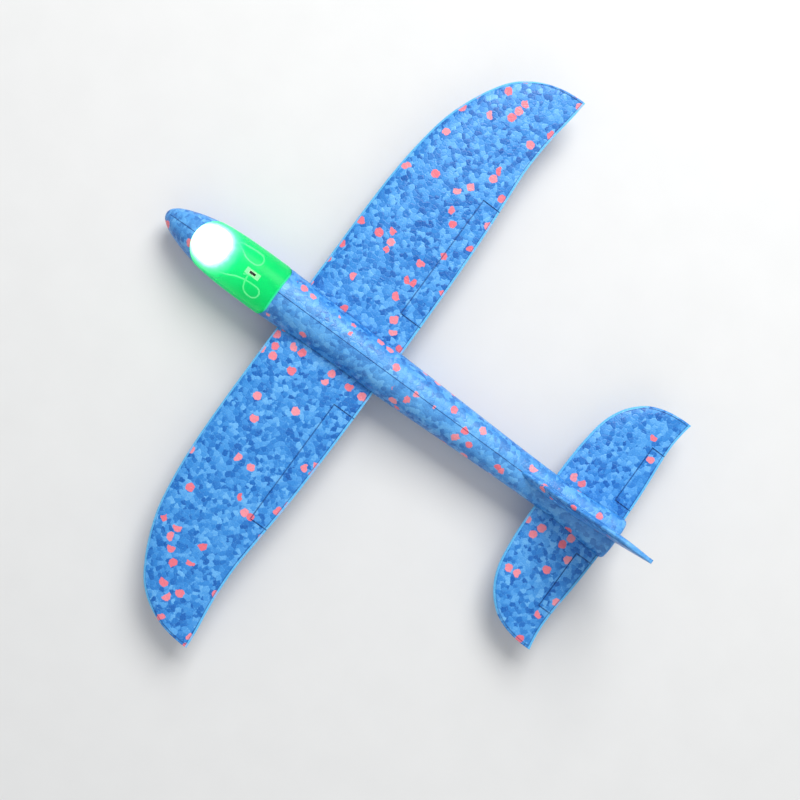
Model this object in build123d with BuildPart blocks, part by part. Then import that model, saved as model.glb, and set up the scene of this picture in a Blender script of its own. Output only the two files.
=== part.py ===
from build123d import *
from math import dist, pi, radians, tan
import os

# Hand-launched glider moulded in bead foam, with a plug-in light unit behind its nose.
#
# Millimetres. +X points to the nose, +Y to port and +Z up. The origin is under the middle of the
# length, in the plane that the belly stands on. Stations are distances behind the nose tip.
#
# The fuselage and its fin are one moulding. The wing and the tailplane are one-piece mouldings that
# slide sideways through slots in it. The light unit is a clear shell on a tray that carries the
# lamp, its switch and three button cells, and it lifts out of a pocket behind the nose.

# ---------------------------------------------------------------- driving dimensions

LENGTH = 408.0
FIT = 0.3  # gap between two pieces that slide past each other

# fuselage: station, half width, bottom, height of the widest line, top. The belly is cut flat at
# zero height, so the sections that reach below it make the flat that the model stands on.
BODY_SECTIONS = [
    (0.0, 1.6, 15.6, 17.0, 18.6),
    (0.8, 3.5, 13.7, 17.0, 20.5),
    (2.2, 5.2, 11.9, 17.1, 22.4),
    (4.4, 7.0, 9.9, 17.3, 24.6),
    (8.0, 9.1, 7.7, 17.7, 27.6),
    (15.0, 11.9, 4.9, 18.4, 31.8),
    (22.0, 14.2, 3.0, 19.1, 35.0),
    (30.0, 16.2, 1.5, 19.8, 37.9),
    (40.0, 18.0, 0.2, 20.5, 40.6),
    (52.0, 19.2, -0.6, 21.2, 43.0),
    (66.0, 19.8, -0.9, 21.7, 44.8),
    (84.0, 20.0, -1.0, 22.0, 45.9),
    (101.0, 19.8, -1.0, 22.1, 45.9),
    (128.0, 19.1, -1.0, 22.2, 45.1),
    (160.0, 18.3, -1.0, 22.4, 43.8),
    (197.0, 17.3, -0.9, 22.8, 42.0),
    (222.0, 16.5, -0.3, 23.0, 40.7),
    (244.0, 15.8, 1.8, 23.2, 39.6),
    (279.0, 14.8, 5.4, 23.6, 38.0),
    (318.0, 13.8, 8.6, 24.0, 36.6),
    (345.0, 13.7, 10.4, 24.3, 35.8),
    (366.0, 14.9, 11.3, 24.5, 35.4),
    (385.0, 16.2, 12.1, 24.6, 35.0),
    (392.5, 16.5, 12.6, 24.6, 34.7),
    (395.2, 15.8, 13.8, 24.6, 33.6),
    (396.2, 14.6, 15.4, 24.6, 32.0),
]
# how full the quarters of a section are: 0.55 is an ellipse and 1 a rectangle
FULLNESS_ABOVE = 0.63
FULLNESS_BELOW = 0.69
SEAM_WIDTH = 0.6
SEAM_DEPTH = 0.5

# fin: height, front station, rear station, thickness
FIN_SECTIONS = [
    (27.0, 302.0, 394.6, 9.6),
    (36.0, 311.5, 396.4, 8.6),
    (52.0, 328.5, 399.4, 7.4),
    (72.0, 349.0, 403.0, 6.2),
    (90.0, 367.4, 406.2, 5.2),
    (98.0, 375.8, 407.6, 4.7),
    (101.8, 380.8, LENGTH, 4.0),
    (103.6, 385.4, 407.2, 2.9),
    (104.2, 389.5, 405.0, 1.8),
]
FIN_EDGE = 2.8  # thickness of the fin's rear edge

# wing and tailplane: distance from the centre line, front station, rear station, thickness
WING_SECTIONS = [
    (0.0, 112.0, 194.6, 8.5),
    (45.0, 112.0, 194.4, 8.4),
    (86.0, 112.1, 193.8, 8.2),
    (126.0, 113.4, 192.2, 7.9),
    (150.0, 115.9, 190.5, 7.5),
    (173.0, 120.0, 189.0, 6.9),
    (195.0, 127.9, 189.6, 6.2),
    (210.0, 135.6, 191.1, 5.5),
    (220.0, 142.6, 192.5, 4.9),
    (227.0, 150.2, 193.4, 4.4),
    (232.0, 158.0, 193.9, 4.0),
    (236.0, 167.0, 194.2, 3.5),
    (238.5, 176.0, 194.4, 3.0),
    (239.6, 184.0, 194.5, 2.4),
    (240.0, 189.0, 194.3, 1.8),
]
WING_Z = 26.2
TAIL_SECTIONS = [
    (0.0, 335.0, 393.8, 6.2),
    (18.0, 335.1, 393.6, 6.2),
    (34.0, 335.6, 393.0, 6.0),
    (50.0, 337.0, 392.0, 5.7),
    (62.0, 338.9, 391.0, 5.4),
    (72.0, 342.3, 390.4, 5.0),
    (80.5, 347.2, 390.4, 4.5),
    (88.0, 354.0, 391.0, 4.0),
    (92.5, 360.0, 391.6, 3.6),
    (96.0, 368.0, 392.2, 3.1),
    (98.2, 377.0, 392.7, 2.6),
    (99.0, 385.0, 392.8, 1.8),
]
TAIL_Z = 24.6
UPPER_SLOT_Z = 48.5
UPPER_SLOT_AHEAD = 3.0  # distance that the upper slot lies ahead of the lower one
FOIL_RISE = 0.6  # share of a foil's thickness that lies above its reference height
FOIL_EDGE = 1.8  # thickness of a foil's rear edge

# moulded lines round the control surfaces: hinge station, inner end, outer end
AILERON = (177.0, 40.0, 140.0)
ELEVATOR = (379.4, 23.5, 69.5)
LINE_WIDTH = 0.9
LINE_DEPTH = 0.9
# moulded line that follows the edges of the wing, the tailplane and the fin
RIM_INSET = 1.5
RIM_WIDTH = 0.6
RIM_DEPTH = 0.4

# light unit
CANOPY_FRONT = 27.6
CANOPY_REAR = 99.4
CANOPY_HALF = 20.3
CANOPY_ARC = 19.4  # radius of the front of the outline
CANOPY_CORNER = 7.5
CANOPY_PROUD = 0.35
CANOPY_WALL = 1.3
SPLIT_Z = 20.8  # height of the canopy's lower edge
TRAY_FLOOR = 1.6
TRAY_RIM = 3.4
TRAY_WALL = 1.2
TRAY_GAP = 0.15  # between the tray's rim and the inside of the shell

CELL_RADIUS = 5.8
CELL_THICKNESS = 5.4
CELL_COUNT = 3
CELL_Z = 13.6
FIRST_CELL = 54.2
BOX_FRONT = 50.6
BOX_REAR = 72.2
BOX_HALF = 7.5
BOX_BOTTOM = 7.2
BAY_FRONT = 52.0
BAY_REAR = 70.8
BAY_HALF = 6.1
BAY_TOP = 19.6
DOOR_REAR = 79.6
DOOR_THICKNESS = 1.3
SCREW_STATION = 76.2
SCREW_RADIUS = 0.8
CONTACT = 0.3  # thickness of the contacts' sheet
TAB_TOP = 24.5
TAB_WIDTH = 1.6
SPRING_TAB_Y = -4.0
PLATE_TAB_Y = 3.0

BOARD_STATION = 46.0
BOARD_THICKNESS = 1.2
BOARD_HALF = 14.5
BOARD_BOTTOM = 23.2
BOARD_TOP = 32.2
LAMP_Z = 28.6
LAMP_RADIUS = 2.5
LAMP_BARREL = 6.1
LAMP_STANDOFF = 1.5
LEG_PITCH = 2.54

SWITCH_STATION = 77.7
SWITCH_LENGTH = 11.0
SWITCH_WIDTH = 4.4
SWITCH_TOP = 44.2
SWITCH_HEIGHT = 3.4
SWITCH_SHEET = 0.35
SWITCH_SLOT = (5.0, 2.0)
SWITCH_TRAVEL = 2.0
KNOB = (2.2, 1.5)
KNOB_TOP = 46.3
PIN_PITCH = 2.5
PIN_BOTTOM = 37.6

WIRE_RADIUS = 0.55


def x_at(station):
    return LENGTH / 2 - station


def at(station, y, z):
    return (x_at(station), y, z)


def along(front, rear):
    """The x of the middle of a run between two stations, and its length."""
    return x_at((front + rear) / 2), rear - front


def refine(rows, steps):
    """The rows with steps intervals between each two, on a smooth curve through all of them."""
    gaps = [dist(a, b) for a, b in zip(rows, rows[1:])]
    slopes = [[(q - p) / g for p, q in zip(a, b)] for a, b, g in zip(rows, rows[1:], gaps)]
    tangents = [slopes[0]]
    for i in range(1, len(rows) - 1):
        before, after = gaps[i - 1], gaps[i]
        pairs = zip(slopes[i - 1], slopes[i])
        tangents.append([(p * after + q * before) / (before + after) for p, q in pairs])
    tangents.append(slopes[-1])
    fine = []
    for i, gap in enumerate(gaps):
        for step in range(steps):
            t = step / steps
            row = []
            for p, q, m, n in zip(rows[i], rows[i + 1], tangents[i], tangents[i + 1]):
                ends = (2 * t**3 - 3 * t**2 + 1) * p + (3 * t**2 - 2 * t**3) * q
                turns = (t**3 - 2 * t**2 + t) * m + (t**3 - t**2) * n
                row.append(ends + turns * gap)
            fine.append(tuple(row))
    fine.append(rows[-1])
    return fine


# ---------------------------------------------------------------- forms shared by several pieces


def quarters(middle, wide, height, fullness):
    """The control points of half an oval from port to starboard, as two curves."""
    crown = middle + height
    side = middle + fullness * height
    reach = fullness * wide
    port = [(wide, middle), (wide, side), (reach, crown), (0, crown)]
    starboard = [(-y, z) for y, z in reversed(port)]
    return port, starboard


def body_form(inset):
    """The fuselage's outer form, moved inwards by inset."""
    with BuildPart() as form:
        for station, half_width, bottom, middle, top in refine(BODY_SECTIONS, 2):
            wide = max(half_width - inset, 0.5)
            high = max(top - middle - inset, 0.5)
            low = max(middle - bottom - inset, 0.5)
            with BuildSketch(Plane.YZ.offset(x_at(station))):
                with BuildLine():
                    for curve in quarters(middle, wide, high, FULLNESS_ABOVE):
                        Bezier(*curve)
                    for curve in quarters(middle, wide, -low, FULLNESS_BELOW):
                        Bezier(*curve)
                make_face()
        loft(ruled=True)
    return form.part


def foil_curves(front, rear, thickness, edge, rise):
    """The control points of a foil's upper and lower curves, as (x, height) points.

    The greatest thickness is a third of the way back. rise is the share of the thickness that
    lies above the reference height, and edge the thickness of the rear edge."""
    share = min(edge / thickness, 0.85)
    shape = [(0, 0), (0, 0.8), (0.25, 1.6), (0.62, 0.75), (1, share)]
    curves = []
    for side in (rise, rise - 1):
        points = [(x_at(front + q * (rear - front)), side * thickness * h) for q, h in shape]
        curves.append(points)
    return curves


def foil_face(plane, curves, z=0.0):
    """A foil's section on the plane, raised by z in the plane's own upward direction."""
    upper, lower = [[(x, z + h) for x, h in curve] for curve in curves]
    with BuildSketch(plane) as section:
        with BuildLine():
            Bezier(*upper)
            Bezier(*lower)
            Line(upper[-1], lower[-1])
        make_face()
    return section.sketch.face()


def foil_form(sections, z, shave=0.0):
    """A tapering foil across the fuselage, with shave taken off its upper and lower faces."""
    port = refine(sections, 3)
    starboard = [(-row[0], *row[1:]) for row in reversed(port[1:])]
    raised = z + (2 * FOIL_RISE - 1) * shave
    faces = []
    for span, front, rear, thickness in starboard + port:
        full = max(thickness - 2 * shave, 0.3)
        edge = max(FOIL_EDGE - 2 * shave, 0.3)
        curves = foil_curves(front, rear, full, edge, FOIL_RISE)
        # Plane.XZ looks along -Y, so the offset is the negative of the distance to port
        faces.append(foil_face(Plane.XZ.offset(-span), curves, raised))
    with BuildPart() as form:
        loft(faces, ruled=True)
    return form.part


def fin_form(shave=0.0):
    """The fin, with shave taken off its two sides."""
    faces = []
    for height, front, rear, thickness in refine(FIN_SECTIONS, 3):
        curves = foil_curves(front, rear, max(thickness - 2 * shave, 0.3), FIN_EDGE, 0.5)
        faces.append(foil_face(Plane.XY.offset(height), curves))
    with BuildPart() as form:
        loft(faces, ruled=True)
    return form.part


def fin_outline():
    """The corners of the fin's side view, down to its root inside the fuselage."""
    rows = refine(FIN_SECTIONS, 3)
    leading = [(x_at(front), height) for height, front, _, _ in rows]
    return leading + [(x_at(rear), height) for height, _, rear, _ in reversed(rows)]


def slot_form(section, z, ahead=0.0):
    """The slot that a foil's widest section slides through, running past both sides."""
    _, front, rear, thickness = section
    front = front - ahead - FIT
    rear = rear - ahead + FIT
    curves = foil_curves(front, rear, thickness + 2 * FIT, FOIL_EDGE + 2 * FIT, FOIL_RISE)
    with BuildPart() as form:
        extrude(foil_face(Plane.XZ, curves, z), amount=30, both=True)
    return form.part


def control_lines(line, rear):
    """Upright walls along the moulded lines of a pair of control surfaces."""
    hinge, inner, outer = line
    middle, run = along(hinge, rear + 5)
    with BuildPart() as form:
        for side in (1, -1):
            with BuildSketch(Plane.XY):
                with Locations((x_at(hinge), side * (inner + outer) / 2)):
                    Rectangle(LINE_WIDTH, outer - inner + LINE_WIDTH)
                with Locations((middle, side * inner), (middle, side * outer)):
                    Rectangle(run, LINE_WIDTH)
            extrude(amount=60)
    return form.part


def rim_line(sections):
    """An upright wall that follows a foil's outline just inside its edge."""
    port = refine(sections, 2)
    rows = [(-row[0], *row[1:]) for row in reversed(port[1:])] + port
    outline = [(x_at(front), span) for span, front, _, _ in rows]
    outline += [(x_at(rear), span) for span, _, rear, _ in reversed(rows)]
    with BuildPart() as form:
        with BuildSketch(Plane.XY):
            with BuildLine():
                Polyline(*outline, close=True)
            make_face()
            offset(amount=-RIM_INSET, kind=Kind.INTERSECTION, mode=Mode.REPLACE)
            offset(amount=-RIM_WIDTH, kind=Kind.INTERSECTION, mode=Mode.SUBTRACT)
        extrude(amount=60)
    return form.part


def canopy_outline(inset):
    """The canopy's outline from above, moved inwards by inset, as an upright prism."""
    half = CANOPY_HALF - inset
    shoulder = x_at(CANOPY_FRONT + CANOPY_ARC)
    back = x_at(CANOPY_REAR) + inset
    with BuildPart() as form:
        with BuildSketch(Plane.XY):
            with Locations((shoulder, 0)):
                Ellipse(CANOPY_ARC - inset, half)
            with Locations(((shoulder + back) / 2, 0)):
                Rectangle(shoulder - back, 2 * half)
        extrude(amount=70)
        rear_edges = form.edges().filter_by(Axis.Z).group_by(Axis.X)[0]
        fillet(rear_edges, radius=CANOPY_CORNER - inset)
    return form.part


def slab(bottom, top):
    """Everything between two heights."""
    with BuildPart() as form:
        with Locations((0, 0, bottom)):
            Box(900, 900, top - bottom, align=(Align.CENTER, Align.CENTER, Align.MIN))
    return form.part


def block(front, rear, half, bottom, top, y=0.0):
    """A rectangular block between two stations, centred at y."""
    middle, run = along(front, rear)
    with BuildPart() as form:
        with Locations((middle, y, bottom)):
            Box(run, 2 * half, top - bottom, align=(Align.CENTER, Align.CENTER, Align.MIN))
    return form.part


def wire(points):
    """A round wire along straight runs joined by arcs as large as the runs allow."""
    route = [Vector(*at(*p)) for p in points]
    radii = []
    for before, corner, after in zip(route, route[1:], route[2:]):
        first, second = corner - before, after - corner
        turn = radians(first.get_angle(second))
        shorter = min(first.length, second.length)
        radii.append(0.45 * shorter / tan(turn / 2))
    with BuildPart() as form:
        with BuildLine():
            path = FilletPolyline(*route, radius=radii)
        with BuildSketch(Plane(origin=path @ 0, z_dir=path % 0)):
            Circle(WIRE_RADIUS)
        sweep()
    expected = pi * WIRE_RADIUS**2 * path.length
    print("wire length", round(path.length, 1), "radii", [round(radius, 1) for radius in radii])
    print("volume over section times length", round(form.part.volume / expected, 3))
    return form.part


def upright(station, y, bottom):
    return Plane(origin=at(station, y, bottom), x_dir=(1, 0, 0), z_dir=(0, 0, 1))


def facing_aft(station, y, z):
    return Plane(origin=at(station, y, z), x_dir=(0, 1, 0), z_dir=(-1, 0, 0))


def facing_forward(station, y, z):
    return Plane(origin=at(station, y, z), x_dir=(0, 1, 0), z_dir=(1, 0, 0))


os.makedirs("parts", exist_ok=True)

body_outer = body_form(0)
body_shaved = body_form(SEAM_DEPTH)
canopy_outer = body_form(-CANOPY_PROUD)
canopy_inner = body_form(CANOPY_WALL - CANOPY_PROUD)

# ---------------------------------------------------------------- fuselage

with BuildPart() as fin_rim:
    with BuildSketch(Plane.XZ):
        with BuildLine():
            Polyline(*fin_outline(), close=True)
        make_face()
        offset(amount=-RIM_INSET, kind=Kind.INTERSECTION, mode=Mode.REPLACE)
        offset(amount=-RIM_WIDTH, kind=Kind.INTERSECTION, mode=Mode.SUBTRACT)
    extrude(amount=10, both=True)
    add(fin_form(RIM_DEPTH), mode=Mode.SUBTRACT)

with BuildPart() as fin:
    add(fin_form())
    add(fin_rim.part, mode=Mode.SUBTRACT)

with BuildPart() as seam:
    add(body_outer)
    add(block(-5, 318, SEAM_WIDTH / 2, 24, 60), mode=Mode.INTERSECT)
    add(body_shaved, mode=Mode.SUBTRACT)

with BuildPart() as seat:
    add(canopy_outline(-FIT))
    add(slab(SPLIT_Z - FIT, 60), mode=Mode.INTERSECT)

with BuildPart() as fuselage:
    add(body_outer)
    add(fin.part)
    add(seam.part, mode=Mode.SUBTRACT)
    add(slab(-5, 0), mode=Mode.SUBTRACT)
    add(slot_form(WING_SECTIONS[0], WING_Z), mode=Mode.SUBTRACT)
    add(slot_form(TAIL_SECTIONS[0], TAIL_Z), mode=Mode.SUBTRACT)
    add(slot_form(TAIL_SECTIONS[0], UPPER_SLOT_Z, UPPER_SLOT_AHEAD), mode=Mode.SUBTRACT)
    add(seat.part, mode=Mode.SUBTRACT)
    add(
        block(BOX_FRONT - FIT, DOOR_REAR + FIT, BOX_HALF + FIT, BOX_BOTTOM - 3.0, 22),
        mode=Mode.SUBTRACT,
    )
fuselage.part.label = "fuselage"
export_step(fuselage.part, "parts/fuselage.step")

# ---------------------------------------------------------------- wing and tailplane

with BuildPart() as wing_lines:
    add(control_lines(AILERON, WING_SECTIONS[0][2]))
    add(foil_form(WING_SECTIONS, WING_Z, LINE_DEPTH), mode=Mode.SUBTRACT)

with BuildPart() as wing_rim:
    add(rim_line(WING_SECTIONS))
    add(foil_form(WING_SECTIONS, WING_Z, RIM_DEPTH), mode=Mode.SUBTRACT)

with BuildPart() as main_wing:
    add(foil_form(WING_SECTIONS, WING_Z))
    add(wing_lines.part, mode=Mode.SUBTRACT)
    add(wing_rim.part, mode=Mode.SUBTRACT)
main_wing.part.label = "main_wing"
export_step(main_wing.part, "parts/main_wing.step")

with BuildPart() as tail_lines:
    add(control_lines(ELEVATOR, TAIL_SECTIONS[0][2]))
    add(foil_form(TAIL_SECTIONS, TAIL_Z, LINE_DEPTH), mode=Mode.SUBTRACT)

with BuildPart() as tail_rim:
    add(rim_line(TAIL_SECTIONS))
    add(foil_form(TAIL_SECTIONS, TAIL_Z, RIM_DEPTH), mode=Mode.SUBTRACT)

with BuildPart() as tailplane:
    add(foil_form(TAIL_SECTIONS, TAIL_Z))
    add(tail_lines.part, mode=Mode.SUBTRACT)
    add(tail_rim.part, mode=Mode.SUBTRACT)
tailplane.part.label = "tailplane"
export_step(tailplane.part, "parts/tailplane.step")

# ---------------------------------------------------------------- light unit: shell and tray

with BuildPart() as hollow:
    add(canopy_inner)
    add(canopy_outline(CANOPY_WALL), mode=Mode.INTERSECT)

with BuildPart() as canopy_shell:
    add(canopy_outer)
    add(canopy_outline(0), mode=Mode.INTERSECT)
    add(hollow.part, mode=Mode.SUBTRACT)
    add(slab(-5, SPLIT_Z), mode=Mode.SUBTRACT)
    # collar that holds the switch under the crown
    collar_bottom = SWITCH_TOP - 2.0
    collar_half = SWITCH_LENGTH / 2 + 0.8
    add(
        block(
            SWITCH_STATION - collar_half,
            SWITCH_STATION + collar_half,
            SWITCH_WIDTH / 2 + 0.8,
            collar_bottom,
            SWITCH_TOP + 0.8,
        )
    )
    add(
        block(
            SWITCH_STATION - SWITCH_LENGTH / 2,
            SWITCH_STATION + SWITCH_LENGTH / 2,
            SWITCH_WIDTH / 2,
            collar_bottom - 1,
            SWITCH_TOP,
        ),
        mode=Mode.SUBTRACT,
    )
    slot_half = SWITCH_SLOT[0] / 2 + 0.2
    add(
        block(
            SWITCH_STATION - slot_half,
            SWITCH_STATION + slot_half,
            SWITCH_SLOT[1] / 2 + 0.2,
            SWITCH_TOP - 1,
            60,
        ),
        mode=Mode.SUBTRACT,
    )
canopy_shell.part.label = "canopy_shell"
export_step(canopy_shell.part, "parts/canopy_shell.step")

FLOOR_TOP = SPLIT_Z + TRAY_FLOOR
RIM_SETBACK = CANOPY_WALL + TRAY_GAP
with BuildPart() as tray_hollow:
    add(body_form(RIM_SETBACK - CANOPY_PROUD + TRAY_WALL))
    add(canopy_outline(RIM_SETBACK + TRAY_WALL), mode=Mode.INTERSECT)
    add(slab(FLOOR_TOP, 60), mode=Mode.INTERSECT)

with BuildPart() as unit_tray:
    # floor, with a rim that stands inside the shell
    add(body_form(RIM_SETBACK - CANOPY_PROUD))
    add(canopy_outline(RIM_SETBACK), mode=Mode.INTERSECT)
    add(slab(SPLIT_Z, FLOOR_TOP + TRAY_RIM), mode=Mode.INTERSECT)
    add(tray_hollow.part, mode=Mode.SUBTRACT)
    # cell bay, and the boss for the door's screw
    add(block(BOX_FRONT, BOX_REAR, BOX_HALF, BOX_BOTTOM, SPLIT_Z))
    add(block(BAY_FRONT, BAY_REAR, BAY_HALF, BOX_BOTTOM - 1, BAY_TOP), mode=Mode.SUBTRACT)
    add(block(BAY_REAR + 0.5, SCREW_STATION, 0.8, BOX_BOTTOM, SPLIT_Z))
    with BuildSketch(upright(SCREW_STATION, 0, BOX_BOTTOM)):
        Circle(2.8)
    extrude(amount=SPLIT_Z - BOX_BOTTOM)
    with BuildSketch(upright(SCREW_STATION, 0, BOX_BOTTOM)):
        Circle(SCREW_RADIUS + 0.05)
    extrude(amount=9, mode=Mode.SUBTRACT)
    # slots for the two contact tabs
    tab_slot = TAB_WIDTH / 2 + 0.25
    add(block(BAY_FRONT, BAY_FRONT + 0.6, tab_slot, BAY_TOP - 1, 24, SPRING_TAB_Y), mode=Mode.SUBTRACT)
    add(block(BAY_REAR - 0.6, BAY_REAR, tab_slot, BAY_TOP - 1, 24, PLATE_TAB_Y), mode=Mode.SUBTRACT)
    # grooved posts that hold the circuit board upright
    for post_y in (-10.5, 10.5):
        post_front = BOARD_STATION - 1.6
        post_rear = BOARD_STATION + BOARD_THICKNESS + 1.6
        add(block(post_front, post_rear, 1.5, FLOOR_TOP, BOARD_BOTTOM + 3.6, post_y))
    add(
        block(
            BOARD_STATION, BOARD_STATION + BOARD_THICKNESS, BOARD_HALF, BOARD_BOTTOM, BOARD_TOP
        ),
        mode=Mode.SUBTRACT,
    )
unit_tray.part.label = "unit_tray"
export_step(unit_tray.part, "parts/unit_tray.step")

# ---------------------------------------------------------------- light unit: cells and door

DOOR_BOTTOM = BOX_BOTTOM - DOOR_THICKNESS
with BuildPart() as battery_door:
    add(block(BOX_FRONT, DOOR_REAR, BOX_HALF, DOOR_BOTTOM, BOX_BOTTOM))
    fillet(battery_door.edges().filter_by(Axis.Z), radius=1.5)
    # raised pad that keeps the door in line with the bay
    add(block(BAY_FRONT + 1.6, BAY_REAR - 0.6, BAY_HALF - 0.2, BOX_BOTTOM, BOX_BOTTOM + 0.4))
    with BuildSketch(upright(SCREW_STATION, 0, DOOR_BOTTOM)):
        Circle(SCREW_RADIUS + 0.25)
    extrude(amount=DOOR_THICKNESS, mode=Mode.SUBTRACT)
battery_door.part.label = "battery_door"
export_step(battery_door.part, "parts/battery_door.step")

with BuildPart() as door_screw:
    with BuildSketch(upright(SCREW_STATION, 0, DOOR_BOTTOM - 1.1)):
        Circle(1.9)
    extrude(amount=1.1)
    fillet(door_screw.edges().group_by(Axis.Z)[0], radius=0.4)
    with BuildSketch(upright(SCREW_STATION, 0, DOOR_BOTTOM)):
        Circle(SCREW_RADIUS)
    extrude(amount=8.5)
    with BuildSketch(upright(SCREW_STATION, 0, DOOR_BOTTOM - 1.1)):
        Rectangle(2.6, 0.5)
        Rectangle(0.5, 2.6)
    extrude(amount=0.6, mode=Mode.SUBTRACT)
door_screw.part.label = "door_screw"
export_step(door_screw.part, "parts/door_screw.step")

for number in range(CELL_COUNT):
    with BuildPart() as cell:
        front = FIRST_CELL + number * CELL_THICKNESS
        with BuildSketch(facing_aft(front, 0, CELL_Z)):
            Circle(CELL_RADIUS - 0.9)
        extrude(amount=0.4)
        with BuildSketch(facing_aft(front + 0.4, 0, CELL_Z)):
            Circle(CELL_RADIUS)
        extrude(amount=CELL_THICKNESS - 0.4)
        fillet(cell.edges().group_by(Axis.X)[0], radius=0.5)
    cell.part.label = f"button_cell_{number + 1}"
    export_step(cell.part, f"parts/button_cell_{number + 1}.step")

CELLS_REAR = FIRST_CELL + CELL_COUNT * CELL_THICKNESS
with BuildPart() as plate_contact:
    add(block(BAY_REAR - CONTACT, BAY_REAR, 4.5, CELL_Z - 4.5, CELL_Z + 4.5))
    add(block(BAY_REAR - CONTACT, BAY_REAR, TAB_WIDTH / 2, CELL_Z, TAB_TOP, PLATE_TAB_Y))
    with BuildSketch(facing_forward(BAY_REAR - CONTACT, 0, CELL_Z)):
        Circle(1.6)
    extrude(amount=BAY_REAR - CONTACT - CELLS_REAR)
plate_contact.part.label = "plate_contact"
export_step(plate_contact.part, "parts/plate_contact.step")

with BuildPart() as spring_contact:
    add(block(BAY_FRONT, BAY_FRONT + CONTACT, 4.5, CELL_Z - 4.5, CELL_Z + 4.5))
    add(block(BAY_FRONT, BAY_FRONT + CONTACT, TAB_WIDTH / 2, CELL_Z, TAB_TOP, SPRING_TAB_Y))
    coil_start = BAY_FRONT + CONTACT + 0.25
    coil_length = FIRST_CELL - 0.3 - coil_start
    with BuildLine() as coil:
        Helix(coil_length / 2, coil_length, 3.4, center=at(coil_start, 0, CELL_Z), direction=(-1, 0, 0))
    with BuildSketch(Plane(origin=coil.line @ 0, z_dir=coil.line % 0)):
        Circle(0.25)
    sweep(is_frenet=True)
spring_contact.part.label = "spring_contact"
export_step(spring_contact.part, "parts/spring_contact.step")

# ---------------------------------------------------------------- light unit: lamp and board

BOARD_REAR = BOARD_STATION + BOARD_THICKNESS
with BuildPart() as circuit_board:
    add(block(BOARD_STATION, BOARD_REAR, BOARD_HALF, BOARD_BOTTOM, BOARD_TOP))
    chamfer(circuit_board.edges().filter_by(Axis.X).group_by(Axis.Z)[-1], length=1.6)
circuit_board.part.label = "circuit_board"
export_step(circuit_board.part, "parts/circuit_board.step")

LAMP_BACK = BOARD_STATION - LAMP_STANDOFF
with BuildPart() as lamp:
    with BuildSketch(facing_forward(LAMP_BACK, 0, LAMP_Z)):
        Circle(LAMP_RADIUS + 0.4)
    extrude(amount=1.0)
    with BuildSketch(facing_forward(LAMP_BACK, 0, LAMP_Z)):
        Circle(LAMP_RADIUS)
    extrude(amount=LAMP_BARREL)
    with Locations(at(LAMP_BACK - LAMP_BARREL, 0, LAMP_Z)):
        Sphere(LAMP_RADIUS)
lamp.part.label = "lamp"
export_step(lamp.part, "parts/lamp.step")

with BuildPart() as lamp_legs:
    for leg_y in (-LEG_PITCH / 2, LEG_PITCH / 2):
        add(block(LAMP_BACK, BOARD_STATION, 0.25, LAMP_Z - 0.25, LAMP_Z + 0.25, leg_y))
lamp_legs.part.label = "lamp_legs"
export_step(lamp_legs.part, "parts/lamp_legs.step")

with BuildPart() as flasher_chip:
    with BuildSketch(facing_aft(BOARD_REAR, 0, LAMP_Z)):
        Circle(3.2)
    extrude(amount=1.3)
    fillet(flasher_chip.edges().group_by(Axis.X)[0], radius=1.1)
flasher_chip.part.label = "flasher_chip"
export_step(flasher_chip.part, "parts/flasher_chip.step")

# ---------------------------------------------------------------- light unit: switch

SWITCH_BOTTOM = SWITCH_TOP - SWITCH_HEIGHT
SWITCH_FRONT = SWITCH_STATION - SWITCH_LENGTH / 2
SWITCH_REAR = SWITCH_STATION + SWITCH_LENGTH / 2
INNER_HALF = SWITCH_WIDTH / 2 - SWITCH_SHEET
BASE_TOP = SWITCH_BOTTOM + 1.0
with BuildPart() as switch_shell:
    add(block(SWITCH_FRONT, SWITCH_REAR, SWITCH_WIDTH / 2, SWITCH_BOTTOM, SWITCH_TOP))
    add(
        block(
            SWITCH_FRONT + SWITCH_SHEET,
            SWITCH_REAR - SWITCH_SHEET,
            INNER_HALF,
            SWITCH_BOTTOM,
            SWITCH_TOP - SWITCH_SHEET,
        ),
        mode=Mode.SUBTRACT,
    )
    add(
        block(
            SWITCH_STATION - SWITCH_SLOT[0] / 2,
            SWITCH_STATION + SWITCH_SLOT[0] / 2,
            SWITCH_SLOT[1] / 2,
            SWITCH_BOTTOM,
            SWITCH_TOP + 1,
        ),
        mode=Mode.SUBTRACT,
    )
switch_shell.part.label = "switch_shell"
export_step(switch_shell.part, "parts/switch_shell.step")

with BuildPart() as switch_base:
    add(
        block(
            SWITCH_FRONT + SWITCH_SHEET,
            SWITCH_REAR - SWITCH_SHEET,
            INNER_HALF,
            SWITCH_BOTTOM,
            BASE_TOP,
        )
    )
switch_base.part.label = "switch_base"
export_step(switch_base.part, "parts/switch_base.step")

with BuildPart() as switch_pins:
    for pin_station in (SWITCH_STATION - PIN_PITCH, SWITCH_STATION, SWITCH_STATION + PIN_PITCH):
        add(block(pin_station - 0.4, pin_station + 0.4, 0.2, PIN_BOTTOM, SWITCH_BOTTOM))
switch_pins.part.label = "switch_pins"
export_step(switch_pins.part, "parts/switch_pins.step")

SLIDER_STATION = SWITCH_STATION - SWITCH_TRAVEL / 2
with BuildPart() as switch_slider:
    add(
        block(
            SLIDER_STATION - 3.1,
            SLIDER_STATION + 3.1,
            INNER_HALF - 0.2,
            BASE_TOP + 0.25,
            SWITCH_TOP - SWITCH_SHEET - 0.15,
        )
    )
    add(
        block(
            SLIDER_STATION - KNOB[0] / 2,
            SLIDER_STATION + KNOB[0] / 2,
            KNOB[1] / 2,
            BASE_TOP + 0.5,
            KNOB_TOP,
        )
    )
    fillet(switch_slider.edges().group_by(Axis.Z)[-1], radius=0.2)
switch_slider.part.label = "switch_slider"
export_step(switch_slider.part, "parts/switch_slider.step")

# ---------------------------------------------------------------- light unit: wires

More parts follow.
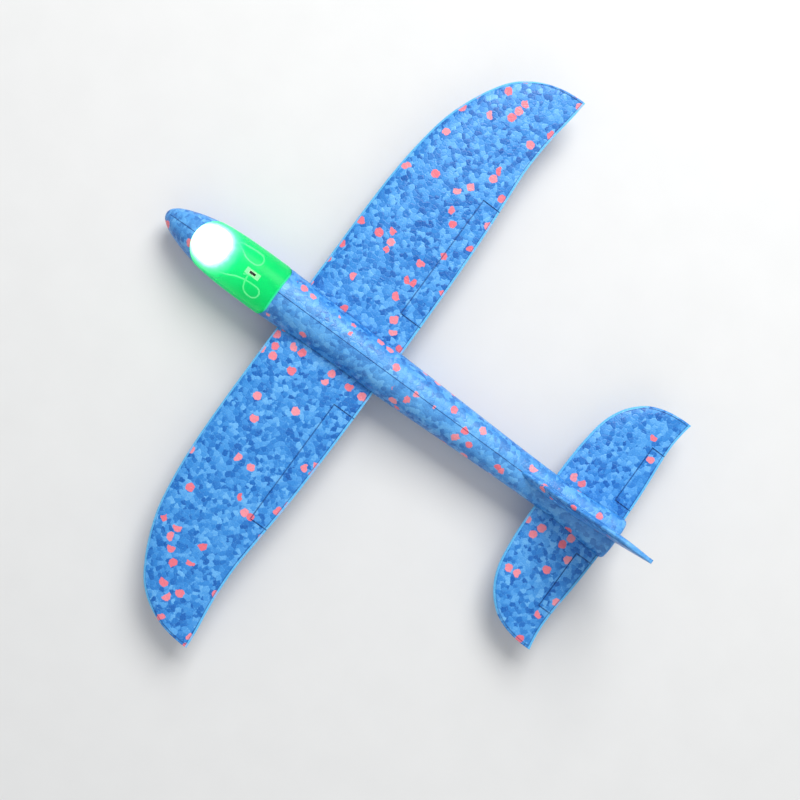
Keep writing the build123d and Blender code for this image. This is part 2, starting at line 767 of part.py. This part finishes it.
# from the starboard end of the board round a loop of slack to the spring contact
battery_wire = wire(
    [
        (BOARD_REAR, -12.6, 30.0),
        (53.6, -13.0, 30.6),
        (60.2, -10.4, 31.2),
        (65.8, -7.0, 31.6),
        (71.0, -6.3, 31.7),
        (75.2, -6.7, 31.6),
        (77.7, -9.2, 31.4),
        (77.7, -12.6, 31.0),
        (75.0, -15.1, 30.5),
        (69.4, -15.3, 29.6),
        (62.6, -14.6, 28.6),
        (56.8, -14.3, 27.2),
        (53.4, -11.0, 25.0),
        (BAY_FRONT + CONTACT / 2, SPRING_TAB_Y - TAB_WIDTH / 2 - 2.4, TAB_TOP - 0.8),
        (BAY_FRONT + CONTACT / 2, SPRING_TAB_Y - TAB_WIDTH / 2, TAB_TOP - 0.8),
    ]
)
battery_wire.label = "battery_wire"
export_step(battery_wire, "parts/battery_wire.step")

# from the port end of the board round a loop of slack to the front pin of the switch
front_pin = SWITCH_STATION - PIN_PITCH
switch_wire = wire(
    [
        (BOARD_REAR, 12.6, 30.0),
        (54.0, 13.4, 30.6),
        (61.0, 11.2, 31.2),
        (68.0, 7.6, 31.6),
        (75.0, 6.0, 32.0),
        (81.0, 5.6, 32.4),
        (86.2, 5.8, 32.8),
        (88.7, 8.2, 33.2),
        (88.6, 11.6, 33.6),
        (86.0, 13.9, 34.2),
        (81.4, 14.0, 35.0),
        (77.4, 12.2, 36.2),
        (75.8, 8.2, 37.4),
        (front_pin, 4.0, 38.4),
        (front_pin, 0.2, 38.4),
    ]
)
switch_wire.label = "switch_wire"
export_step(switch_wire, "parts/switch_wire.step")

# from the plate contact up to the middle pin of the switch
supply_wire = wire(
    [
        (BAY_REAR - CONTACT / 2, PLATE_TAB_Y, TAB_TOP),
        (BAY_REAR - CONTACT / 2, PLATE_TAB_Y, 26.6),
        (72.5, 2.2, 30.1),
        (75.8, 0.8, 32.1),
        (SWITCH_STATION, 0.0, 35.4),
        (SWITCH_STATION, 0.0, PIN_BOTTOM),
    ]
)
supply_wire.label = "supply_wire"
export_step(supply_wire, "parts/supply_wire.step")
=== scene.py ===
import bpy
from mathutils import Matrix, Vector


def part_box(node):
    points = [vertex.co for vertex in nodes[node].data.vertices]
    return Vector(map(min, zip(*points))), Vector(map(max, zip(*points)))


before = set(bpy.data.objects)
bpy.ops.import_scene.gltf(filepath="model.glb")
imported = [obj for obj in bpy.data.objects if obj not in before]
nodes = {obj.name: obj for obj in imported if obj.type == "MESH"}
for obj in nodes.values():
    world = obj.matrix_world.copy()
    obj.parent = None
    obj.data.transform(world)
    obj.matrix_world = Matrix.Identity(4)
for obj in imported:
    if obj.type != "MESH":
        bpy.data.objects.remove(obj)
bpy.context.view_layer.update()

# Lengths are in metres. Colours are linear red, green and blue, each from 0 to 1.

# ---------------------------------------------------------------- shader helpers


class Shader:
    """A material being built out of nodes."""

    def __init__(self, name):
        self.material = bpy.data.materials.new(name)
        self.material.use_nodes = True
        self.tree = self.material.node_tree
        self.tree.nodes.clear()
        self.output = self.tree.nodes.new("ShaderNodeOutputMaterial")
        self.surface = self.tree.nodes.new("ShaderNodeBsdfPrincipled")
        self.link(self.surface.outputs[0], self.output.inputs[0])

    def link(self, source, target):
        self.tree.links.new(source, target)

    def feed(self, socket, value):
        """Joins a socket to another one, or gives it a number or a colour of its own."""
        if isinstance(value, bpy.types.NodeSocket):
            self.link(value, socket)
        elif isinstance(value, tuple):
            socket.default_value = (*value, 1.0)
        else:
            socket.default_value = value

    def set(self, **values):
        """Sets sockets of the surface; Base_Color stands for Base Color."""
        for key, value in values.items():
            self.feed(self.surface.inputs[key.replace("_", " ")], value)

    def place(self):
        """The point's place in the row frame."""
        return self.tree.nodes.new("ShaderNodeTexCoord").outputs["Object"]

    def normal(self):
        return self.tree.nodes.new("ShaderNodeNewGeometry").outputs["Normal"]

    def shifted(self, place, shift):
        node = self.tree.nodes.new("ShaderNodeMapping")
        node.inputs["Location"].default_value = shift
        self.link(place, node.inputs["Vector"])
        return node.outputs[0]

    def split(self, vector):
        node = self.tree.nodes.new("ShaderNodeSeparateXYZ")
        self.link(vector, node.inputs[0])
        return node.outputs

    def math(self, operation, a, b=0.0):
        node = self.tree.nodes.new("ShaderNodeMath")
        node.operation = operation
        self.feed(node.inputs[0], a)
        self.feed(node.inputs[1], b)
        return node.outputs[0]

    def curve(self, value, points):
        """A value looked up on straight runs between points, all from 0 to 1."""
        node = self.tree.nodes.new("ShaderNodeFloatCurve")
        curve = node.mapping.curves[0]
        while len(curve.points) < len(points):
            curve.points.new(0.5, 0.5)
        for point, spot in zip(curve.points, points):
            point.location = spot
            point.handle_type = "VECTOR"
        node.mapping.update()
        self.link(value, node.inputs["Value"])
        return node.outputs[0]

    def cells(self, place, size, feature="F1", smoothness=None, flat=False):
        """Cells of about the given size; only the feature SMOOTH_F1 takes a smoothness."""
        node = self.tree.nodes.new("ShaderNodeTexVoronoi")
        node.voronoi_dimensions = "2D" if flat else "3D"
        node.feature = feature
        node.inputs["Scale"].default_value = 1 / size
        if smoothness is not None:
            node.inputs["Smoothness"].default_value = smoothness
        self.link(place, node.inputs["Vector"])
        return node.outputs

    def noise(self, place, scale, detail=2.0, roughness=0.5):
        node = self.tree.nodes.new("ShaderNodeTexNoise")
        node.inputs["Scale"].default_value = scale
        node.inputs["Detail"].default_value = detail
        node.inputs["Roughness"].default_value = roughness
        self.link(place, node.inputs["Vector"])
        return node.outputs

    def ramp(self, value, stops):
        """A colour looked up on straight runs between stops, each a position and a colour."""
        node = self.tree.nodes.new("ShaderNodeValToRGB")
        elements = node.color_ramp.elements
        while len(elements) < len(stops):
            elements.new(0.5)
        for element, (position, colour) in zip(elements, stops):
            element.position = position
            element.color = (*colour, 1.0)
        self.link(value, node.inputs[0])
        return node.outputs[0]

    def mix(self, share, a, b):
        """The colour a at a share of 0, and b at 1."""
        node = self.tree.nodes.new("ShaderNodeMix")
        node.data_type = "RGBA"
        self.feed(node.inputs[0], share)
        self.feed(node.inputs[6], a)
        self.feed(node.inputs[7], b)
        return node.outputs[2]

    def remap(self, value, low, high, to_low=0.0, to_high=1.0):
        """A value carried from one range to another, and held at the ends."""
        node = self.tree.nodes.new("ShaderNodeMapRange")
        self.link(value, node.inputs[0])
        node.inputs[1].default_value = low
        node.inputs[2].default_value = high
        node.inputs[3].default_value = to_low
        node.inputs[4].default_value = to_high
        return node.outputs[0]

    def bump(self, height, strength, distance):
        node = self.tree.nodes.new("ShaderNodeBump")
        node.inputs["Strength"].default_value = strength
        node.inputs["Distance"].default_value = distance
        self.link(height, node.inputs["Height"])
        self.link(node.outputs[0], self.surface.inputs["Normal"])


# ---------------------------------------------------------------- smooth strip round a foil

STRIP = 0.0015  # width of the strip, from the edge to the moulded rim line
STRIP_BLUR = 0.0002  # half the width of the strip's soft border
EDGE_STEP = 0.006  # spacing of the points that describe a foil's edge
NOTCH = 0.001  # a point that lies deeper than this isn't on the edge


def sunk(outline, end, i):
    """How far a point of an outline lies inside the straight run between its neighbours."""
    before, here, after = outline[i - 1 : i + 2]
    along = (here.x - before.x) / (after.x - before.x)
    return end * (before.y + along * (after.y - before.y) - here.y)


def edge_points(node, end):
    """The front (end 1) or rear (end -1) outline of a foil from above, moved in by the strip.

    Points run from the centre line to the tip, as (distance from the centre line, x)."""
    outer = {}
    for vertex in nodes[node].data.vertices:
        span, x = abs(vertex.co.y), vertex.co.x
        row = round(span / EDGE_STEP)
        if row not in outer or end * x > end * outer[row].y:
            outer[row] = Vector((span, x))
    outline = [outer[row] for row in sorted(outer)]

    # a row that holds no point of the edge itself shows up as a notch, and is dropped
    while True:
        deepest = max(range(1, len(outline) - 1), key=lambda i: sunk(outline, end, i))
        if sunk(outline, end, deepest) < NOTCH:
            break
        del outline[deepest]
    inner = []
    for before, here, after in zip(outline, outline[1:], outline[2:]):
        run = (after - before).normalized()
        inner.append(here + STRIP * end * Vector((run.y, -run.x)))
    return [point for point in inner if point.x > 0]


def strip_share(s, node, place):
    """1 on the strip round a foil's edge and 0 inside its rim line."""
    low, high = (Vector(corner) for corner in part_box(node))
    axes = s.split(place)
    span = s.math("DIVIDE", s.math("ABSOLUTE", axes[1]), high.y)
    inside = 1.0
    for end in (1, -1):
        points = [(p.x / high.y, (p.y - low.x) / (high.x - low.x)) for p in edge_points(node, end)]
        edge = s.remap(s.curve(span, points), 0.0, 1.0, low.x, high.x)
        past = s.math("MULTIPLY", s.math("SUBTRACT", axes[0], edge), end)
        inside = s.math("MULTIPLY", s.remap(past, -STRIP_BLUR, STRIP_BLUR, 1.0, 0.0), inside)
    return s.math("SUBTRACT", 1.0, inside)


# ---------------------------------------------------------------- foam

BEAD = 0.0034  # size of the blue beads
BEAD_SMOOTHNESS = 0.22
WANDER = 0.0022  # how far the beads' outlines stray
WANDER_SCALE = 480
MOTTLE_SCALE = 1100  # grain within a bead
DRIFT_SCALE = 60  # slow change across many beads

# a blue bead's tone is the sum of its own, the mottle's and the drift's shares
BEAD_SHARE = 0.66
MOTTLE_SHARE = 0.50
DRIFT_SHARE = 0.24
TONE_MIDDLE = 0.70  # the average of that sum
BLUES_MIDDLE = 0.52  # where the average falls on the blues
BLUES = (
    (0.14, (0.003, 0.070, 0.340)),
    (0.30, (0.012, 0.150, 0.520)),
    (0.50, (0.036, 0.255, 0.690)),
    (0.68, (0.085, 0.360, 0.800)),
    (0.90, (0.210, 0.560, 0.930)),
)
# painted highlight on the joints between beads
JOINT_HIGHLIGHT_BLUE = (0.26, 0.62, 0.96)
JOINT_WIDTH = 0.09  # of the light joints between beads, as a share of a bead
# painted sheen: a paler blue painted on faces that look up, standing in for the light on the top
PAINTED_SHEEN_BLUE = (0.24, 0.60, 0.94)
STRIP_BLUES = ((0.075, 0.44, 0.88), (0.20, 0.66, 0.98))
STRIP_COVER = 0.85  # how much of the strip's own blue shows

SPARK = 0.0072  # room for each pink bead
SPARK_RADIUS = 0.46  # a pink bead's radius, as a share of that room
SPARK_RAGGED = 0.08  # how uneven its outline is
PINKS = (
    (0.2, (0.82, 0.150, 0.205)),
    (0.5, (0.89, 0.215, 0.275)),
    (0.8, (0.93, 0.34, 0.40)),
)

# painted shade: the dark blue put into moulded lines and joints, where their walls shade them
GROOVE_SHADE_BLUE = (0.002, 0.050, 0.25)
GROOVE_REACH = 0.0016  # how near a wall has to be to shade a moulded line


def uneven(s, place):
    """A place with a small wander, which makes the beads' outlines uneven."""
    wander = s.tree.nodes.new("ShaderNodeVectorMath")
    wander.operation = "MULTIPLY_ADD"
    s.link(s.noise(place, WANDER_SCALE)["Color"], wander.inputs[0])
    wander.inputs[1].default_value = (WANDER, WANDER, WANDER)
    s.link(place, wander.inputs[2])
    return wander.outputs[0]


def pink_beads(s, spot, mottle, pink_share, flat):
    """Where the pink beads lie, from 0 to 1, and their colour."""
    spark = s.cells(spot, SPARK, flat=flat)
    random = s.split(spark["Color"])
    chosen = s.math("LESS_THAN", random[1], pink_share)
    outline = s.math("MULTIPLY", s.math("ADD", mottle, random[0]), SPARK_RAGGED)
    ragged = s.math("ADD", spark["Distance"], outline)
    near = s.remap(ragged, SPARK_RADIUS + 0.03, SPARK_RADIUS + 0.07, 1.0, 0.0)
    pinks = s.ramp(s.math("MULTIPLY", s.math("ADD", random[2], mottle), 0.5), PINKS)
    return s.math("MULTIPLY", chosen, near), pinks


def foam(node, shift, pink_share, contrast=1.0, painted_sheen=0.0, groove_shade=0.2, foil=False):
    """Moulded bead foam: flattened beads of many blues with pink ones scattered among them.

    contrast spreads the beads' tones apart; the sheen share pales the faces that look up as a
    painted highlight, and the groove share is how light the painted shade leaves the moulded lines.
    A foil has flat pink beads and a smooth pale edge."""
    s = Shader(f"blue_foam_{node}")
    place = s.place()
    moved = s.shifted(place, shift)
    spot = uneven(s, moved)

    bead = s.cells(spot, BEAD, "SMOOTH_F1", BEAD_SMOOTHNESS)
    tone = s.split(bead["Color"])
    seam = s.cells(spot, BEAD, "DISTANCE_TO_EDGE")["Distance"]
    mottle = s.noise(moved, MOTTLE_SCALE, 3.0, 0.65)["Fac"]
    drift = s.noise(moved, DRIFT_SCALE)["Fac"]
    mixed = s.math(
        "ADD",
        s.math("MULTIPLY", tone[0], BEAD_SHARE),
        s.math("MULTIPLY", mottle, MOTTLE_SHARE),
    )
    shade = s.math("ADD", mixed, s.math("MULTIPLY", drift, DRIFT_SHARE))
    spread = s.math("MULTIPLY", s.math("SUBTRACT", shade, TONE_MIDDLE), contrast)
    blues = s.ramp(s.math("ADD", spread, BLUES_MIDDLE), BLUES)
    # painted highlight: some of the joints between beads are paled as if they catch the light
    at_joint = s.remap(seam, 0.0, JOINT_WIDTH, 0.5, 0.0)
    joint = s.math("MULTIPLY", at_joint, s.remap(mottle, 0.5, 0.7))
    blues = s.mix(joint, blues, JOINT_HIGHLIGHT_BLUE)
    # painted highlight: faces that look up are paled, as if lit from above
    if painted_sheen:
        up = s.remap(s.split(s.normal())[2], 0.55, 1.0, 0.0, painted_sheen)
        sheen = s.math("MULTIPLY", up, s.remap(drift, 0.3, 0.7, 0.6, 1.2))
        blues = s.mix(sheen, blues, PAINTED_SHEEN_BLUE)

    pink, pinks = pink_beads(s, spot, mottle, pink_share, foil)
    colour = s.mix(pink, blues, pinks)
    if foil:
        smooth = s.mix(mottle, *STRIP_BLUES)
        strip = s.math("MULTIPLY", strip_share(s, node, place), STRIP_COVER)
        colour = s.mix(strip, colour, smooth)
    # painted shade: an ambient occlusion node darkens the colour of the moulded lines and the joints
    # between the pieces, where their own walls shade them
    open_sky = s.tree.nodes.new("ShaderNodeAmbientOcclusion")
    open_sky.inputs["Distance"].default_value = GROOVE_REACH
    open_sky.samples = 8
    lit = s.remap(open_sky.outputs["AO"], 0.35, 0.80, groove_shade, 1.0)
    s.set(
        Base_Color=s.mix(lit, GROOVE_SHADE_BLUE, colour),
        Roughness=s.remap(tone[1], 0.2, 0.8, 0.28, 0.44),
        Specular_IOR_Level=0.36,
    )
    height = s.math("ADD", s.remap(seam, 0.0, 0.20), s.math("MULTIPLY", mottle, 0.8))
    s.bump(s.math("ADD", height, s.math("MULTIPLY", tone[2], 0.5)), 0.30, 0.0004)
    return s.material


# ---------------------------------------------------------------- canopy

LAMP_AT = Vector(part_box("lamp")[0]).lerp(Vector(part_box("lamp")[1]), 0.5)
# the glare is a painted highlight: a hot spot of the lamp's light painted on the shell above the
# lamp
GLARE_AT = LAMP_AT + Vector((-0.001, 0.0, 0.013))
GLARE_RADIUS = 0.009
GLARE_RAGGED = 0.0024  # how uneven the glare's outline is

# colour and power of the painted glow, from the painted glare outwards
GLOW_REACH = 0.041
GLOW = (
    (0.00, (1.00, 1.00, 1.00)),
    (0.17, (0.80, 1.00, 0.86)),
    (0.30, (0.26, 0.97, 0.56)),
    (0.48, (0.02, 0.86, 0.30)),
    (1.00, (0.002, 0.74, 0.18)),
)
POWER_REACH = 0.051
POWER = ((0.00, 1.0), (0.12, 0.66), (0.26, 0.23), (0.40, 0.14), (1.00, 0.105))
FULL_POWER = 3.6

# the painted glow along the canopy's rear edge
EDGE_GLOW = (0.10, 0.92, 0.80)
EDGE_POWER = 0.35


def canopy():
    """Clear green plastic, with the lamp's light from under its front painted on as a glow and a
    glare.
    """
    s = Shader("clear_green_canopy")
    place = s.place()
    away = s.tree.nodes.new("ShaderNodeVectorMath")
    away.operation = "DISTANCE"
    s.link(place, away.inputs[0])
    away.inputs[1].default_value = GLARE_AT
    ragged = s.math("MULTIPLY", s.noise(place, 200)["Fac"], GLARE_RAGGED)
    far = s.math("ADD", away.outputs["Value"], ragged)
    glow = s.ramp(s.remap(far, GLARE_RADIUS, GLOW_REACH), GLOW)
    greys = [(position, (level, level, level)) for position, level in POWER]
    power = s.ramp(s.remap(far, GLARE_RADIUS, POWER_REACH), greys)
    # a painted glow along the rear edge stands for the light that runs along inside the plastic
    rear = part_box("canopy_shell")[0][0]
    edge = s.remap(s.split(place)[0], rear + 0.0004, rear + 0.0013, 1.0, 0.0)
    inner_power = s.math("MULTIPLY", power, FULL_POWER)
    s.set(
        Base_Color=s.mix(s.noise(place, 160)["Fac"], (0.001, 0.60, 0.15), (0.002, 0.70, 0.19)),
        Roughness=0.30,
        IOR=1.40,
        Specular_IOR_Level=0.22,
        Alpha=s.remap(far, 0.017, 0.027, 1.0, 0.46),
        Emission_Color=s.mix(edge, glow, EDGE_GLOW),
        Emission_Strength=s.math("ADD", inner_power, s.math("MULTIPLY", edge, EDGE_POWER)),
    )
    return s.material


# ---------------------------------------------------------------- other materials

GRAIN_SCALE = 900.0


def mould(name, colour, deep, roughness, transmission=0.0, metal=0.0, glow=0.0):
    """A plain moulded, pressed or plated surface with a faint mottle of its own.

    glow paints on, as an even glow of the piece's own colour, the lamp's light that reaches the
    piece inside the canopy."""
    s = Shader(name)
    grain = s.noise(s.place(), GRAIN_SCALE, 3.0)["Fac"]
    s.set(
        Base_Color=s.mix(grain, deep, colour),
        Roughness=s.remap(grain, 0.2, 0.8, roughness * 0.8, roughness * 1.2),
        Metallic=metal,
        Transmission_Weight=transmission,
        Emission_Color=colour,
        Emission_Strength=glow,
    )
    s.bump(grain, 0.08, 0.0002)
    return s.material


def lit_lamp():
    s = Shader("lit_lamp")
    grain = s.noise(s.place(), 400)["Fac"]
    s.set(
        Base_Color=s.mix(grain, (0.85, 0.92, 0.86), (0.95, 1.0, 0.95)),
        Roughness=0.15,
        Emission_Color=(0.85, 1.0, 0.88),
        Emission_Strength=14.0,
    )
    return s.material


LOOKS = {
    "fuselage": foam("fuselage", (0.3, 0.1, 0.2), 0.16, contrast=0.72, painted_sheen=0.26, groove_shade=0.5),
    "main_wing": foam("main_wing", (0.9, 0.35, 0.13), 0.13, contrast=0.80, foil=True),
    "tailplane": foam("tailplane", (0.7, 0.4, 0.1), 0.12, contrast=0.80, foil=True),
    "canopy_shell": canopy(),
    "unit_tray": mould(
        "green_tray", (0.03, 0.70, 0.18), (0.02, 0.55, 0.12), 0.25, transmission=0.25
    ),
    "battery_door": mould("green_door", (0.03, 0.62, 0.16), (0.02, 0.50, 0.11), 0.35),
    "door_screw": mould("screw_steel", (0.62, 0.62, 0.64), (0.45, 0.45, 0.47), 0.30, metal=1.0),
    "lamp": lit_lamp(),
    "circuit_board": mould("board", (0.62, 0.50, 0.26), (0.50, 0.38, 0.18), 0.45),
    "flasher_chip": mould("black_resin", (0.03, 0.03, 0.03), (0.01, 0.01, 0.01), 0.20),
    # the switch shell glows with painted light from the lamp
    "switch_shell": mould("switch_plating", (0.93, 0.96, 0.78), (0.84, 0.90, 0.70), 0.45, glow=0.55),
    "switch_base": mould("switch_board", (0.30, 0.17, 0.08), (0.20, 0.10, 0.05), 0.60),
    "switch_slider": mould("black_plastic", (0.03, 0.03, 0.03), (0.012, 0.012, 0.012), 0.45),
}
CELL_STEEL = mould("cell_steel", (0.74, 0.73, 0.70), (0.55, 0.54, 0.52), 0.28, metal=1.0)
TIN = mould("contact_plating", (0.80, 0.79, 0.75), (0.60, 0.59, 0.55), 0.32, metal=1.0)
# the wires glow with painted light from the lamp
WIRE_SKIN = mould("wire_skin", (0.80, 0.96, 0.80), (0.70, 0.90, 0.72), 0.40, glow=0.30)
for node in ("button_cell_1", "button_cell_2", "button_cell_3"):
    LOOKS[node] = CELL_STEEL
for node in ("plate_contact", "spring_contact", "lamp_legs", "switch_pins"):
    LOOKS[node] = TIN
for node in ("battery_wire", "switch_wire", "supply_wire"):
    LOOKS[node] = WIRE_SKIN

for node, material in LOOKS.items():
    for slot in nodes[node].material_slots:
        slot.material = material

# ---------------------------------------------------------------- stage and light

FLOOR_HALF = 3.0  # half the floor's width
FLOOR_GAP = 0.0003  # between the floor and the belly
SKY = (0.95, 0.97, 1.0, 1.0)
SKY_POWER = 0.48

bpy.context.scene.view_settings.view_transform = "Standard"


def floor():
    mesh = bpy.data.meshes.new("floor")
    corners = [
        (-FLOOR_HALF, -FLOOR_HALF, 0),
        (FLOOR_HALF, -FLOOR_HALF, 0),
        (FLOOR_HALF, FLOOR_HALF, 0),
        (-FLOOR_HALF, FLOOR_HALF, 0),
    ]
    mesh.from_pydata(corners, [], [(0, 1, 2, 3)])
    obj = bpy.data.objects.new("floor", mesh)
    bpy.context.scene.collection.objects.link(obj)
    s = Shader("pale_floor")
    grain = s.noise(s.place(), 30, 3.0)["Fac"]
    s.set(Base_Color=s.mix(grain, (0.74, 0.74, 0.73), (0.78, 0.78, 0.77)), Roughness=0.7)
    mesh.materials.append(s.material)
    obj.location.z = -FLOOR_GAP


def softbox(name, spot, width, power):
    """A square light that faces the origin."""
    data = bpy.data.lights.new(name, "AREA")
    data.shape = "RECTANGLE"
    data.size = width
    data.size_y = width
    data.energy = power
    obj = bpy.data.objects.new(name, data)
    bpy.context.scene.collection.objects.link(obj)
    obj.location = spot
    obj.rotation_euler = (-Vector(spot)).to_track_quat("-Z", "Y").to_euler()


floor()
softbox("key", (0.2, -1.3, 1.5), 1.2, 38)
softbox("fill", (-0.9, 1.2, 1.2), 1.6, 4)
world = bpy.data.worlds.new("studio")
bpy.context.scene.world = world
world.use_nodes = True
world.node_tree.nodes["Background"].inputs[0].default_value = SKY
world.node_tree.nodes["Background"].inputs[1].default_value = SKY_POWER

# ---------------------------------------------------------------- camera

# the camera looks almost straight down, with the nose towards the upper left
CAMERA_AT = (0.0205, 0.0384, 0.9729)
CAMERA_AXES = (
    (-0.80607, -0.59031, 0.04288),  # right
    (0.59105, -0.80665, 0.00606),  # up
    (0.03101, 0.03023, 0.99912),  # back
)
SENSOR_WIDTH = 36.0  # millimetres
FOCAL_SHARE = 1332 / 800  # the focal length, as a share of the picture's width

camera_data = bpy.data.cameras.new("camera")
camera_data.sensor_width = SENSOR_WIDTH
camera_data.lens = SENSOR_WIDTH * FOCAL_SHARE
camera_data.clip_start = 0.01
camera = bpy.data.objects.new("camera", camera_data)
bpy.context.scene.collection.objects.link(camera)
camera.matrix_world = Matrix.Translation(CAMERA_AT) @ Matrix(CAMERA_AXES).transposed().to_4x4()
bpy.context.scene.camera = camera
